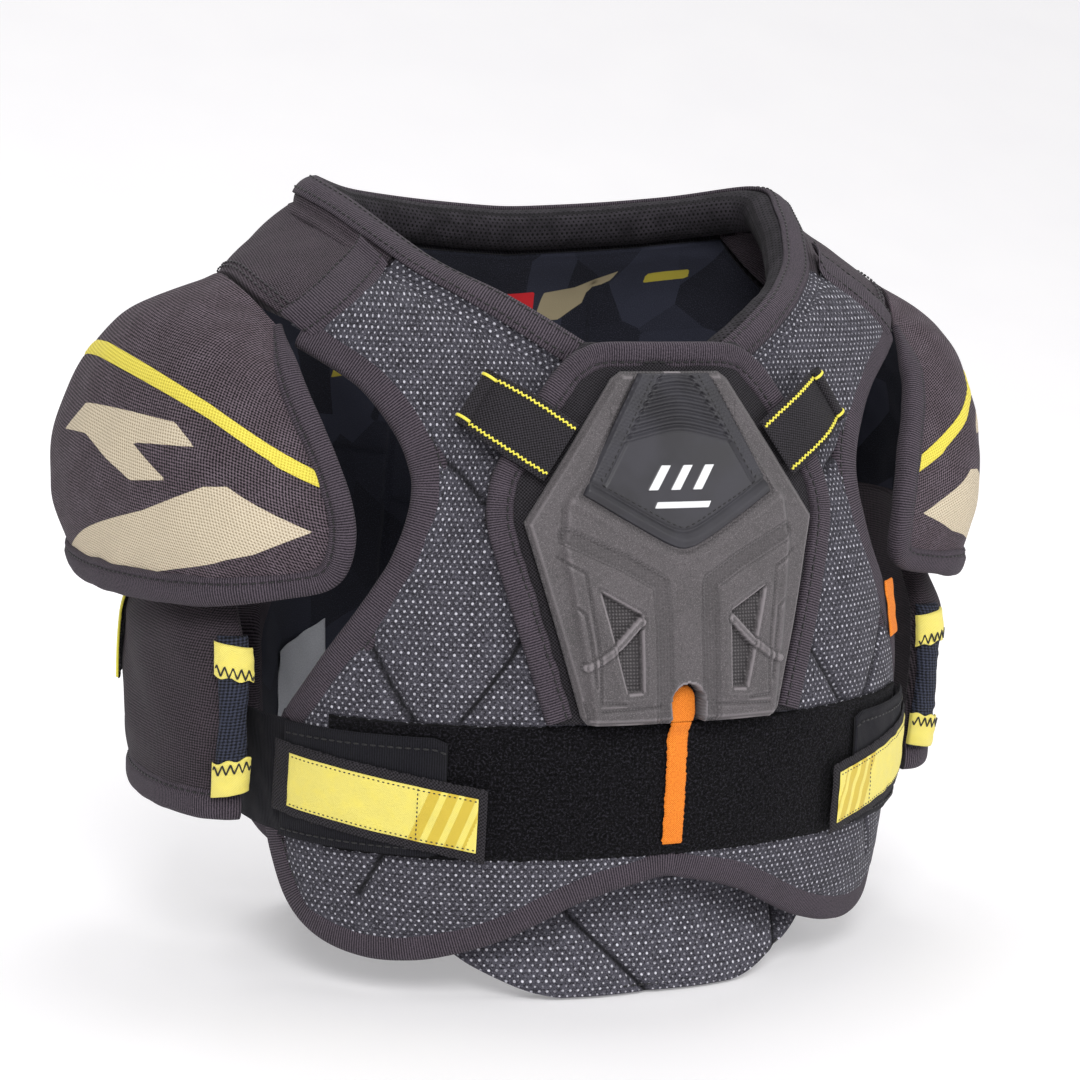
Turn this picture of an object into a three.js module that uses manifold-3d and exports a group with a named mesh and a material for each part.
// Ice-hockey shoulder pads. Millimetres, +Z up, the chest faces -Y, "left" is the -X side.
import * as THREE from 'three';
import { mergeVertices } from 'three/addons/utils/BufferGeometryUtils.js';
import Module from 'manifold-3d';

const wasm = await Module();
wasm.setup();

// ---------------------------------------------------------------- driving dimensions

const CENTRE_Y = 6.96;            // moves the whole part so its box is centred on the origin

// the torso outline: at each height, the chest, the mid line, the back and the half width
const LEVEL = [0, 75, 150, 225, 300, 340, 362, 390];
const CHEST_Y = [-131, -141, -142, -130, -108, -92, -63, -30];
const MIDDLE_Y = [-10, -11, -12, -7, 0, 10, 18, 40];
const BACK_Y = [111, 118, 120, 122, 119, 116, 107, 88];
const HALF_WIDTH = [172, 181, 184, 185, 190, 192, 186, 160];
const ROUNDNESS = 2.2;

const PAD = 12;                 // foam panels
const LINER = 2;                // inside lining
const GAP = 0.5;                // air between neighbouring layers
const COLLAR_RADIUS = 10.5;     // padded neck roll
const TAPE_HALF = 3.5;          // edge binding, half of what it adds beyond the panel edge
const ROLL_GAP = 1.2;           // air between the neck roll and the panels
const SEAM_GAP = 4.6;           // open seam between chest and yoke, so the chest can swing

const BAND = { low: 78, high: 146, thick: 2 };          // loop band across the chest
const WEB = { low: 80, high: 140, thick: 2.4 };         // elastic side webs and straps
const STRAP = { hinge: 170, end: 98 };                  // where a strap peels, where it ends
const TAB = { low: 86, high: 128, end: 88, thick: 2 };  // pull tab on a strap

const COVER = 2.6;              // cap fabric
const SHELL = 2.4;              // cap plastic
const CAP_FOAM = 6;             // cap lining

const STERNUM_PAD = 7;
const PLATE = 7.5;
const PLATE_LIP = 2.5;
const BELLY = 9;
const BICEP = 10;

// ---------------------------------------------------------------- outlines, right half

// x and z of the chest panel's edges
const NECK_FRONT = [[0, 283], [50, 314], [100, 346], [133, 366]];
const SHOULDER_FRONT = [[133, 366], [172, 335]];
const CHEST_SIDE = [[168, 42], [176, 75], [178, 110], [173, 140]];
const ARM_FRONT = [[173, 140], [160, 170], [145, 196], [127, 229], [118.5, 268], [137, 308], [172, 335]];
const HEM = [[0, 74], [45, 62], [90, 39], [130, 28], [155, 31], [168, 42]];

// x and z of the back panel's edges
const NECK_BACK = [[0, 370], [60, 374], [127, 381]];
const SHOULDER_BACK = [[127, 381], [172, 335]];
const BACK_SIDE = [[160, 72], [170, 95], [174, 165]];
const ARM_BACK = [[174, 165], [152, 200], [138, 240], [138, 290], [172, 335]];
const TAIL = [[0, -3], [50, -2], [100, 18], [140, 48], [160, 72]];

// the yoke between the two shoulder seams: its neck edge and its cap edge
const YOKE_NECK = [[139, 2, 381], [147, 40, 390]];
const YOKE_CAP = [[184, -15, 350], [187, 14, 357], [185, 42, 351]];

// the shoulder cap: rows from the yoke seam down to the rim, columns from front to rear
const CAP = [
  [[178, -41, 334], [187, -16, 349], [190.5, 14, 356], [188.5, 42, 350.5], [178, 68, 334]],
  [[177, -64, 308], [210, -42, 323], [232, 24, 332], [226, 84, 322], [188, 108, 302]],
  [[163, -86, 264], [218, -62, 276], [257, 26, 285], [248, 103, 274], [192, 136, 258]],
  [[158, -92, 238], [218, -66, 238], [259, 28, 240], [252, 106, 238], [194, 142, 235]],
  [[160, -85, 212], [212, -61, 204], [250, 29, 200], [241, 100, 203], [190, 132, 212]],
];

// the upper-arm pad: half sizes across X and Y at each height, about a fixed centre
const BICEP_CENTRE = [197, 18];
const BICEP_LEVEL = [92, 128, 175, 198, 215, 236];
const BICEP_X = [32, 35, 34, 29, 25, 21];
const BICEP_Y = [66, 71, 70, 56, 50, 46];
const BICEP_TURN = [-96, 86];   // degrees round to its front and rear edges

// the sternum guard: half widths at each height, and where its rear face stands
const STERNUM_LEVEL = [147, 200, 250, 300, 333];
const STERNUM_Y = [-144.4, -137, -126.6, -115.4, -108.5];
const STERNUM_BOW = 0.00145;    // how fast it falls back from the middle, per mm
const PAD_OUTLINE = [[68, 147.5], [83, 200], [95, 246], [91, 268], [58, 318], [42, 332]];
const PLATE_OUTLINE = [[50, 148.5], [53, 152], [65.5, 200], [77.3, 246], [62.5, 268], [31, 315], [26, 318.5]];
const BADGE_OUTLINE = [[5, 226], [26, 240], [47, 262], [22, 306]];

// the belly flap
const BELLY_LEVEL = [0, 20, 45, 88];
const BELLY_Y = [-129, -121.5, -113, -110.5];
const BELLY_BOW = 0.0021;
const BELLY_OUTLINE = [[44, 0], [68, 5], [95, 18], [114, 36], [120, 60], [117, 88]];

// ---------------------------------------------------------------- small helpers

const vec = (x, y, z) => new THREE.Vector3(x, y, z);
const lerp = (a, b, t) => a + (b - a) * t;

// smooth curve through a table of values
function smooth(keys, values, at) {
  const last = keys.length - 1;
  const x = Math.min(Math.max(at, keys[0]), keys[last]);
  let i = 0;
  while (i < last - 1 && x > keys[i + 1]) i += 1;
  const slope = (k) => {
    const a = Math.max(k - 1, 0);
    const b = Math.min(k + 1, last);
    return (values[b] - values[a]) / (keys[b] - keys[a]);
  };
  const span = keys[i + 1] - keys[i];
  const t = (x - keys[i]) / span;
  const t2 = t * t;
  const t3 = t2 * t;
  return (2 * t3 - 3 * t2 + 1) * values[i] + (t3 - 2 * t2 + t) * span * slope(i)
    + (3 * t2 - 2 * t3) * values[i + 1] + (t3 - t2) * span * slope(i + 1);
}

// straight pieces between the rows of an outline table of [half width, height]
function widthAt(outline, z) {
  let i = 0;
  while (i < outline.length - 2 && z > outline[i + 1][1]) i += 1;
  const t = (z - outline[i][1]) / (outline[i + 1][1] - outline[i][1]);
  return lerp(outline[i][0], outline[i + 1][0], t);
}

// a curve through points, walked evenly from 0 to 1
function through(points) {
  const list = points.map((p) => (p.isVector3 ? p : vec(p[0], 0, p[1])));
  const curve = new THREE.CatmullRomCurve3(list, false, 'centripetal');
  return (t) => curve.getPointAt(Math.min(Math.max(t, 0), 1));
}

// two curves walked one after the other
function chain(first, second, split) {
  return (t) => (t < split ? first(t / split) : second((t - split) / (1 - split)));
}

// four edge curves filled with a surface: start and end run along v, low and high along u
function fill(start, end, low, high) {
  const corners = [start(0), end(0), start(1), end(1)];
  return (u, v) => start(v).multiplyScalar(1 - u)
    .addScaledVector(end(v), u)
    .addScaledVector(low(u), 1 - v)
    .addScaledVector(high(u), v)
    .addScaledVector(corners[0], -(1 - u) * (1 - v))
    .addScaledVector(corners[1], -u * (1 - v))
    .addScaledVector(corners[2], -(1 - u) * v)
    .addScaledVector(corners[3], -u * v);
}

// evenly spaced values
function steps(from, to, count) {
  return Array.from({ length: count + 1 }, (_, i) => lerp(from, to, i / count));
}

// ---------------------------------------------------------------- surfaces
// every surface gives {p, n} for (u, v): a point and the outward direction there

function torsoPoint(x, z, face) {
  const half = smooth(LEVEL, HALF_WIDTH, z);
  const middle = smooth(LEVEL, MIDDLE_Y, z);
  const centre = smooth(LEVEL, face < 0 ? CHEST_Y : BACK_Y, z);
  const reach = Math.max(0, 1 - Math.abs(x / half) ** ROUNDNESS) ** (1 / ROUNDNESS);
  return vec(x, middle + (centre - middle) * reach, z);
}

function torso(x, z, face) {
  const d = 0.4;
  const slopeX = (torsoPoint(x + d, z, face).y - torsoPoint(x - d, z, face).y) / (2 * d);
  const slopeZ = (torsoPoint(x, z + d, face).y - torsoPoint(x, z - d, face).y) / (2 * d);
  const n = vec(-slopeX, 1, -slopeZ).multiplyScalar(face).normalize();
  return { p: torsoPoint(x, z, face), n };
}

// the torso walked round the side, turn in degrees from straight out, negative to the front
function torsoSide(turn, z) {
  const half = smooth(LEVEL, HALF_WIDTH, z);
  const middle = smooth(LEVEL, MIDDLE_Y, z);
  const end = smooth(LEVEL, turn < 0 ? CHEST_Y : BACK_Y, z);
  const a = THREE.MathUtils.degToRad(Math.abs(turn));
  const x = half * Math.cos(a) ** (2 / ROUNDNESS);
  const y = middle + (end - middle) * Math.sin(a) ** (2 / ROUNDNESS);
  const outX = Math.cos(a) ** (2 - 2 / ROUNDNESS) / half;
  const outY = Math.sin(a) ** (2 - 2 / ROUNDNESS) / (end - middle);
  return { p: vec(x, y, z), n: vec(outX, outY, 0).normalize() };
}

// both halves of a panel lying on the torso, u from -1 to 1
function panel(centre, side, low, high, face) {
  const plan = fill(centre, side, low, high);
  return (u, v) => {
    const q = plan(Math.abs(u), v);
    return torso(Math.sign(u) * q.x, q.z, face);
  };
}

// a free surface in space
function free(point, flip) {
  return (u, v) => {
    const d = 0.002;
    const lowU = Math.max(u - d, 0);
    const highU = Math.min(u + d, 1);
    const lowV = Math.max(v - d, 0);
    const highV = Math.min(v + d, 1);
    const along = point(highU, v).sub(point(lowU, v));
    const down = point(u, highV).sub(point(u, lowV));
    return { p: point(u, v), n: along.cross(down).multiplyScalar(flip).normalize() };
  };
}

// a grid of control points
function grid(rows) {
  const curves = rows.map((row) => new THREE.CatmullRomCurve3(row.map((p) => vec(...p))));
  return (u, v) => {
    const column = new THREE.CatmullRomCurve3(curves.map((c) => c.getPoint(u)));
    return column.getPoint(v);
  };
}

const chest = panel(
  through([[0, 74], [0, 283]]),
  chain(through(CHEST_SIDE), through(ARM_FRONT), 5 / 14),
  through(HEM),
  chain(through(NECK_FRONT), through(SHOULDER_FRONT), 5 / 7),
  -1,
);

const back = panel(
  through([[0, -3], [0, 385]]),
  chain(through(BACK_SIDE), through(ARM_BACK), 5 / 16),
  through(TAIL),
  chain(through(NECK_BACK), through(SHOULDER_BACK), 4 / 6),
  1,
);

function seamCurve(outline, face, shift) {
  const walk = through(outline);
  return (t) => {
    const q = walk(t);
    return torsoPoint(q.x, q.z, face).add(shift);
  };
}

const yokeFront = seamCurve(SHOULDER_FRONT, -1, vec(0, SEAM_GAP, 2));
const yokeRear = seamCurve(SHOULDER_BACK, 1, vec(0, -8, 3));
const inSpace = (list) => list.map((p) => vec(...p));
const yoke = free(fill(
  through([yokeFront(0), ...inSpace(YOKE_NECK), yokeRear(0)]),
  through([yokeFront(1), ...inSpace(YOKE_CAP), yokeRear(1)]),
  yokeFront,
  yokeRear,
), 1);

const cap = free(grid(CAP), -1);

function bicep(turn, z) {
  const a = THREE.MathUtils.degToRad(turn);
  const halfX = smooth(BICEP_LEVEL, BICEP_X, z);
  const halfY = smooth(BICEP_LEVEL, BICEP_Y, z);
  const p = vec(BICEP_CENTRE[0] + halfX * Math.cos(a), BICEP_CENTRE[1] + halfY * Math.sin(a), z);
  return { p, n: vec(Math.cos(a) / halfX, Math.sin(a) / halfY, 0).normalize() };
}

// upright shields: u across from -1 to 1, v is the height itself
function shield(outline, levels, depths, bow) {
  return (u, z) => {
    const x = u * widthAt(outline, z);
    const y = smooth(levels, depths, z) + bow * x * x;
    return { p: vec(x, y, z), n: vec(2 * bow * x, -1, 0).normalize() };
  };
}

// ---------------------------------------------------------------- solids

// weld the corners and turn every face outward
function closed(raw) {
  raw.deleteAttribute('normal');
  raw.deleteAttribute('uv');
  const geometry = mergeVertices(raw, 1e-4);
  if (volume(geometry) < 0) turnInsideOut(geometry);
  geometry.computeVertexNormals();
  return geometry;
}

function volume(geometry) {
  const at = geometry.attributes.position;
  const index = geometry.index.array;
  const [a, b, c] = [vec(), vec(), vec()];
  let sum = 0;
  for (let i = 0; i < index.length; i += 3) {
    a.fromBufferAttribute(at, index[i]);
    b.fromBufferAttribute(at, index[i + 1]);
    c.fromBufferAttribute(at, index[i + 2]);
    sum += a.dot(b.cross(c));
  }
  return sum / 6;
}

function turnInsideOut(geometry) {
  const index = geometry.index.array;
  for (let i = 0; i < index.length; i += 3) {
    [index[i + 1], index[i + 2]] = [index[i + 2], index[i + 1]];
  }
}

function mirrored(geometry) {
  const copy = geometry.clone();
  copy.scale(-1, 1, 1);
  turnInsideOut(copy);
  copy.computeVertexNormals();
  return copy;
}

// split the squares of the far face along the same diagonal as the near face
function matchDiagonals(box) {
  const { start, count } = box.groups[5];
  const index = box.index.array;
  for (let i = start; i < start + count; i += 6) {
    const c = index[i + 4];
    const d = index[i + 5];
    index[i + 2] = c;
    index[i + 3] = index[i];
    index[i + 4] = c;
    index[i + 5] = d;
  }
}

// a layer over a surface, between two distances from it
function slab(surface, outer, inner, us, vs) {
  const box = new THREE.BoxGeometry(1, 1, 1, us.length - 1, vs.length - 1, 1);
  matchDiagonals(box);
  const at = box.attributes.position;
  const distance = (side, u, v) => (typeof side === 'function' ? side(u, v) : side);
  for (let i = 0; i < at.count; i += 1) {
    const u = us[Math.round((at.getX(i) + 0.5) * (us.length - 1))];
    const v = vs[Math.round((at.getY(i) + 0.5) * (vs.length - 1))];
    const { p, n } = surface(u, v);
    p.addScaledVector(n, distance(at.getZ(i) > 0 ? outer : inner, u, v));
    at.setXYZ(i, p.x, p.y, p.z);
  }
  return closed(box);
}

// a roll or tape running just outside an edge; way is +1 or -1 for the side it lies on
function edging(spots, way, halfOut, halfThick, depth, sides, gap = GAP) {
  const count = spots.length;
  const segment = (i) => spots[i + 1].p.clone().sub(spots[i].p).normalize();
  const outs = spots.map((spot, i) => {
    const before = segment(Math.max(i - 1, 0)).cross(spot.n).normalize();
    const after = segment(Math.min(i, count - 2)).cross(spot.n).normalize();
    return before.clone().add(after).multiplyScalar(way / (1 + before.dot(after)));
  });
  const tube = new THREE.CylinderGeometry(1, 1, 1, sides, count - 1, false);
  const at = tube.attributes.position;
  for (let i = 0; i < at.count; i += 1) {
    const k = Math.round((0.5 - at.getY(i)) * (count - 1));
    const p = spots[k].p.clone()
      .addScaledVector(outs[k], gap + halfOut * (1 + at.getX(i)))
      .addScaledVector(spots[k].n, depth + halfThick * at.getZ(i));
    at.setXYZ(i, p.x, p.y, p.z);
  }
  return closed(tube);
}

// a flat tape given by stations, each a pair of edge points with an outward direction
function tape(stations, outer, inner) {
  const surface = (u, v) => {
    const s = stations[u];
    return { p: s.a.clone().lerp(s.b, v), n: s.n };
  };
  return slab(surface, outer, inner, stations.map((_, i) => i), [0, 1]);
}

function toManifold(geometry) {
  return new wasm.Manifold(new wasm.Mesh({
    numProp: 3,
    vertProperties: new Float32Array(geometry.attributes.position.array),
    triVerts: new Uint32Array(geometry.index.array),
  }));
}

// take away everything below the floor
function standing(geometry) {
  const block = new THREE.BoxGeometry(600, 600, 100);
  block.translate(0, 0, -50);
  const mesh = toManifold(geometry).subtract(toManifold(closed(block))).getMesh();
  const cut = new THREE.BufferGeometry();
  cut.setAttribute('position', new THREE.Float32BufferAttribute(mesh.vertProperties, 3));
  cut.setIndex(new THREE.Uint32BufferAttribute(mesh.triVerts, 1));
  return closed(cut);
}

// ---------------------------------------------------------------- looks

const LOOKS = {
  knit: [0x3c3c42, 0.85, 0],
  foamCloth: [0x34343a, 0.9, 0],
  lining: [0x20222c, 0.9, 0],
  mesh: [0x26262b, 0.92, 0],
  tape: [0x38343a, 0.9, 0],
  canvas: [0x2f2b31, 0.88, 0],
  plastic: [0x1d1d20, 0.45, 0],
  plate: [0x5f5c58, 0.6, 0],
  rubber: [0x2c2c30, 0.5, 0],
  loop: [0x0e0e11, 0.98, 0],
  elastic: [0x1c1e28, 0.85, 0],
  yellow: [0xe9dc5a, 0.75, 0],
  orange: [0xe8742a, 0.7, 0],
  label: [0xc9cbd0, 0.8, 0],
};

const part = new THREE.Group();
part.name = 'hockey_shoulder_pads';

function add(name, look, geometry) {
  const [color, roughness, metalness] = LOOKS[look];
  const copy = geometry.clone();
  copy.translate(0, CENTRE_Y, 0);
  const mesh = new THREE.Mesh(copy, new THREE.MeshStandardMaterial({ color, roughness, metalness }));
  mesh.name = name;
  part.add(mesh);
}

function addPair(name, look, geometry) {
  add(`${name}_right`, look, geometry);
  add(`${name}_left`, look, mirrored(geometry));
}

// ---------------------------------------------------------------- chest and back

const CHEST_U = steps(-1, 1, 14);
const CHEST_V = steps(0, 1, 14);
const BACK_U = steps(-1, 1, 12);
const BACK_V = steps(0, 1, 16);
const STACK = PAD + GAP + LINER;
const STACK_MIDDLE = -STACK / 2;

// an edge that goes down one side, along the bottom and up the other side
function skirt(surface, us, vs, corner) {
  const down = vs.slice(1, corner + 1).reverse();
  const up = vs.slice(1, corner + 1);
  return [
    ...down.map((v) => surface(-1, v)),
    ...us.map((u) => surface(u, 0)),
    ...up.map((v) => surface(1, v)),
  ];
}

function addChest() {
  add('chest_pad', 'knit', slab(chest, 0, -PAD, CHEST_U, CHEST_V));
  add('chest_liner', 'lining', slab(chest, -PAD - GAP, -STACK, CHEST_U, CHEST_V));
  const hem = skirt(chest, CHEST_U, CHEST_V, 5);
  add('hem_binding', 'tape', edging(hem, 1, TAPE_HALF, 7, STACK_MIDDLE, 6));
  const arm = CHEST_V.slice(5, 14).map((v) => chest(1, v));
  addPair('armhole_binding', 'tape', edging(arm, 1, TAPE_HALF, 7, STACK_MIDDLE, 6));
  const neck = CHEST_U.slice(2, 13).map((u) => chest(u, 1));
  add('collar_front', 'mesh', edging(neck, -1, COLLAR_RADIUS, COLLAR_RADIUS, -7, 8, ROLL_GAP));
}

function addBack() {
  add('back_pad', 'foamCloth', standing(slab(back, 0, -PAD, BACK_U, BACK_V)));
  add('back_liner', 'lining', standing(slab(back, -PAD - GAP, -STACK, BACK_U, BACK_V)));
  const arm = BACK_V.slice(5, 16).map((v) => back(1, v));
  addPair('rear_armhole_binding', 'tape', edging(arm, -1, TAPE_HALF, 7, STACK_MIDDLE, 6));
  const side = BACK_V.slice(0, 6).map((v) => back(1, v));
  addPair('back_side_binding', 'tape', edging(side, -1, TAPE_HALF, 7, STACK_MIDDLE, 6));
  const onBack = (u, v) => torso(u * lerp(34, 52, v), lerp(130, 335, v), 1);
  add('spine_plate', 'plastic', slab(onBack, 5, 1, steps(-1, 1, 4), steps(0, 1, 6)));
}

function addYokes() {
  const vs = steps(0, 1, 8);
  addPair('yoke', 'canvas', slab(yoke, 0, -PAD, steps(0, 1, 4), vs));
  const flip = (spot) => ({ p: spot.p.clone().setX(-spot.p.x), n: spot.n.clone().setX(-spot.n.x) });
  const right = [0.08, ...vs.slice(1, 8), 0.96].map((v) => yoke(0, v));
  const ring = [
    ...right.map(flip),
    ...BACK_U.slice(3, 10).map((u) => back(u, 1)),
    ...right.slice().reverse(),
  ];
  add('collar_back', 'mesh', edging(ring, 1, COLLAR_RADIUS, COLLAR_RADIUS, -6, 8, ROLL_GAP));
}

// ---------------------------------------------------------------- bands and straps

const BAND_X = [0, 30, 60, 85, 105, 121, 134, 144, 152, 160];

function addBand() {
  const across = [...BAND_X.slice(1).reverse().map((x) => -x), ...BAND_X];
  const onChest = (x, z) => torso(x, z, -1);
  add('loop_band', 'loop', slab(onChest, 1 + BAND.thick, 1, across, [BAND.low, 112, BAND.high]));
  const strip = slab(onChest, 5, 1.8 + BAND.thick, [-5.5, 5.5], steps(84, 140, 4));
  add('pull_strip', 'orange', strip);
}

function addStraps() {
  const web = slab(torsoSide, 3.6, 1.2, steps(-20.5, 9, 5), [WEB.low, WEB.high]);
  addPair('side_web', 'elastic', web);
  const anchor = slab(torsoSide, 3.2, 1.2, steps(14, 32, 4), [WEB.low + 4, WEB.high - 4]);
  addPair('web_anchor', 'elastic', anchor);
  const onChest = (x, z) => torso(x, z, -1);
  const low = 2.2 + BAND.thick;
  const reach = [STRAP.hinge, 164, 156, 147, 136, 123, 110, STRAP.end];
  const strap = slab(onChest, low + WEB.thick, low, reach, [WEB.low, 112, WEB.high]);
  addPair('side_strap', 'elastic', strap);
  const top = low + WEB.thick + GAP + 0.3;
  const span = [168, 161, 152, 142, 130, 116, 102, TAB.end];
  addPair('pull_tab', 'yellow', slab(onChest, top + TAB.thick, top, span, [TAB.low, TAB.high]));
}

// ---------------------------------------------------------------- shoulder caps

const CAP_U = steps(0, 1, 8);
const CAP_V = steps(0, 1, 8);

function addCaps() {
  const shellTop = COVER + GAP;
  const foamTop = shellTop + SHELL + GAP;
  const foamEnd = foamTop + CAP_FOAM;
  const innerU = CAP_U.slice(1, 8);
  addPair('cap_cover', 'canvas', slab(cap, 0, -COVER, CAP_U, CAP_V));
  const shell = slab(cap, -shellTop, -shellTop - SHELL, innerU, CAP_V.slice(2, 8));
  addPair('cap_shell', 'plastic', shell);
  addPair('cap_liner', 'lining', slab(cap, -foamTop, -foamEnd, innerU, CAP_V.slice(2)));
  const rim = [
    ...CAP_V.slice(1, 8).map((v) => cap(0, v)),
    ...CAP_U.map((u) => cap(u, 1)),
    ...CAP_V.slice(1, 8).reverse().map((v) => cap(1, v)),
  ];
  addPair('cap_binding', 'tape', edging(rim, 1, TAPE_HALF, 4, -COVER, 6));
}

// ---------------------------------------------------------------- upper-arm pads

function addBiceps() {
  const turns = steps(...BICEP_TURN, 8);
  addPair('bicep_pad', 'canvas', slab(bicep, 0, -BICEP, turns, BICEP_LEVEL));
  const low = turns.map((turn) => bicep(turn, BICEP_LEVEL[0]));
  addPair('bicep_binding', 'tape', edging(low, 1, TAPE_HALF, 5, -BICEP / 2, 6));
  const heights = [101, 128, 156, 184];
  const front = [-94, -83, -72];
  addPair('bicep_band', 'mesh', slab(bicep, 5.6, 3.2, front, heights));
  addPair('band_patch_lower', 'yellow', slab(bicep, 7.6, 6.2, front, [102, 119]));
  addPair('band_patch_upper', 'yellow', slab(bicep, 7.6, 6.2, front, [160, 176]));
  addPair('hook_strap', 'loop', slab(bicep, 4, 2, [24, 33, 42, 52], [140, 158, 176, 192]));
}

// ---------------------------------------------------------------- sternum guard

const BEVEL_U = [-1, -0.86, -0.45, 0, 0.45, 0.86, 1];

function addSternum() {
  const padHeights = PAD_OUTLINE.map((row) => row[1]);
  const pad = shield(PAD_OUTLINE, STERNUM_LEVEL, STERNUM_Y, STERNUM_BOW);
  add('sternum_pad', 'tape', slab(pad, STERNUM_PAD, 0, steps(-1, 1, 6), padHeights));

  const plate = shield(PLATE_OUTLINE, STERNUM_LEVEL, STERNUM_Y, STERNUM_BOW);
  const plateHeights = PLATE_OUTLINE.map((row) => row[1]);
  const first = plateHeights[0];
  const last = plateHeights[plateHeights.length - 1];
  const seat = STERNUM_PAD + 1;
  const face = (u, z) => {
    const onEdge = Math.abs(u) > 0.99 || z === first || z === last;
    return seat + (onEdge ? PLATE_LIP : PLATE);
  };
  add('sternum_plate', 'plate', slab(plate, face, seat, BEVEL_U, plateHeights));

  const badge = shield(BADGE_OUTLINE, STERNUM_LEVEL, STERNUM_Y, STERNUM_BOW);
  const top = seat + PLATE + 1.2;
  const badgeHeights = BADGE_OUTLINE.map((row) => row[1]);
  add('sternum_badge', 'rubber', slab(badge, top + 2, top, steps(-1, 1, 4), badgeHeights));
}

// the elastics leave the plate's upper edges, cross the pad's rim and drop to the chest
function addSternumStraps() {
  const high = [[50, 293, 10], [60, 300, 10], [74, 309, 9.4], [88, 317, 3.6]];
  const low = [[69, 266, 10], [80, 273, 10], [95, 283, 10], [105, 291, 4]];
  const lift = (p) => {
    const shieldY = smooth(STERNUM_LEVEL, STERNUM_Y, p[1]) + STERNUM_BOW * p[0] ** 2;
    return vec(p[0], shieldY - p[2], p[1]);
  };
  const stations = high.map((p, i) => {
    const a = lift(p);
    const b = lift(low[i]);
    const n = vec(2 * STERNUM_BOW * p[0], -1, 0).normalize();
    return { a, b, n };
  });
  addPair('sternum_strap', 'elastic', tape(stations, 1.8, 0));
}

// ---------------------------------------------------------------- belly flap and labels

function addBelly() {
  const flap = shield(BELLY_OUTLINE, BELLY_LEVEL, BELLY_Y, BELLY_BOW);
  const heights = BELLY_OUTLINE.map((row) => row[1]);
  add('belly_pad', 'knit', slab(flap, 0, -BELLY, steps(-1, 1, 8), heights));
}

function addLabels() {
  const inside = (x, z) => torso(x, z, 1);
  const low = STACK + 1;
  add('care_label', 'label', slab(inside, -low, -low - 0.8, [-142, -134, -126, -118], [205, 235]));
  const onChest = (x, z) => torso(x, z, -1);
  add('side_tag', 'orange', slab(onChest, 2.4, 1.2, [150, 157, 164], [186, 200]));
}

addChest();
addBack();
addYokes();
addBand();
addStraps();
addCaps();
addBiceps();
addSternum();
addSternumStraps();
addBelly();
addLabels();

export default part;
